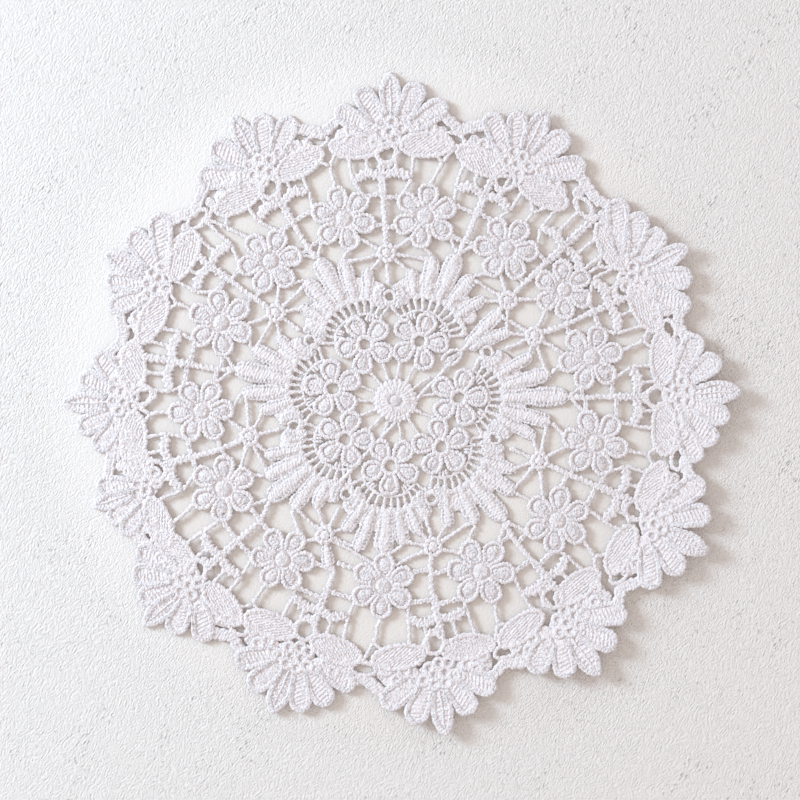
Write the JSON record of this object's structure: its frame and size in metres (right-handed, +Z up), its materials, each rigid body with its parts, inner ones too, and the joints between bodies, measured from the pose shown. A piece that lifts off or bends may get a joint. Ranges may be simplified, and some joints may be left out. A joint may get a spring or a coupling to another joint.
{
  "type": "lace doily",
  "caption": "Round openwork lace doily with raised flowers, leaf fans and a scalloped palmette border; lies flat under a vase, plate or lamp.",
  "frame": {"origin": "centre of the doily's outline, on the surface that it lies on", "axes": "+Z up out of the face with the raised flowers; +Y towards the palmette at the top of the picture's view; +X to its right"},
  "size_m": [0.3014, 0.2949, 0.0028],
  "materials": {
    "white_cotton": "white cotton thread, matt, closely stitched"
  },
  "bodies": {
    "root": {"lace_doily": "white_cotton"}
  },
  "joints": []
}
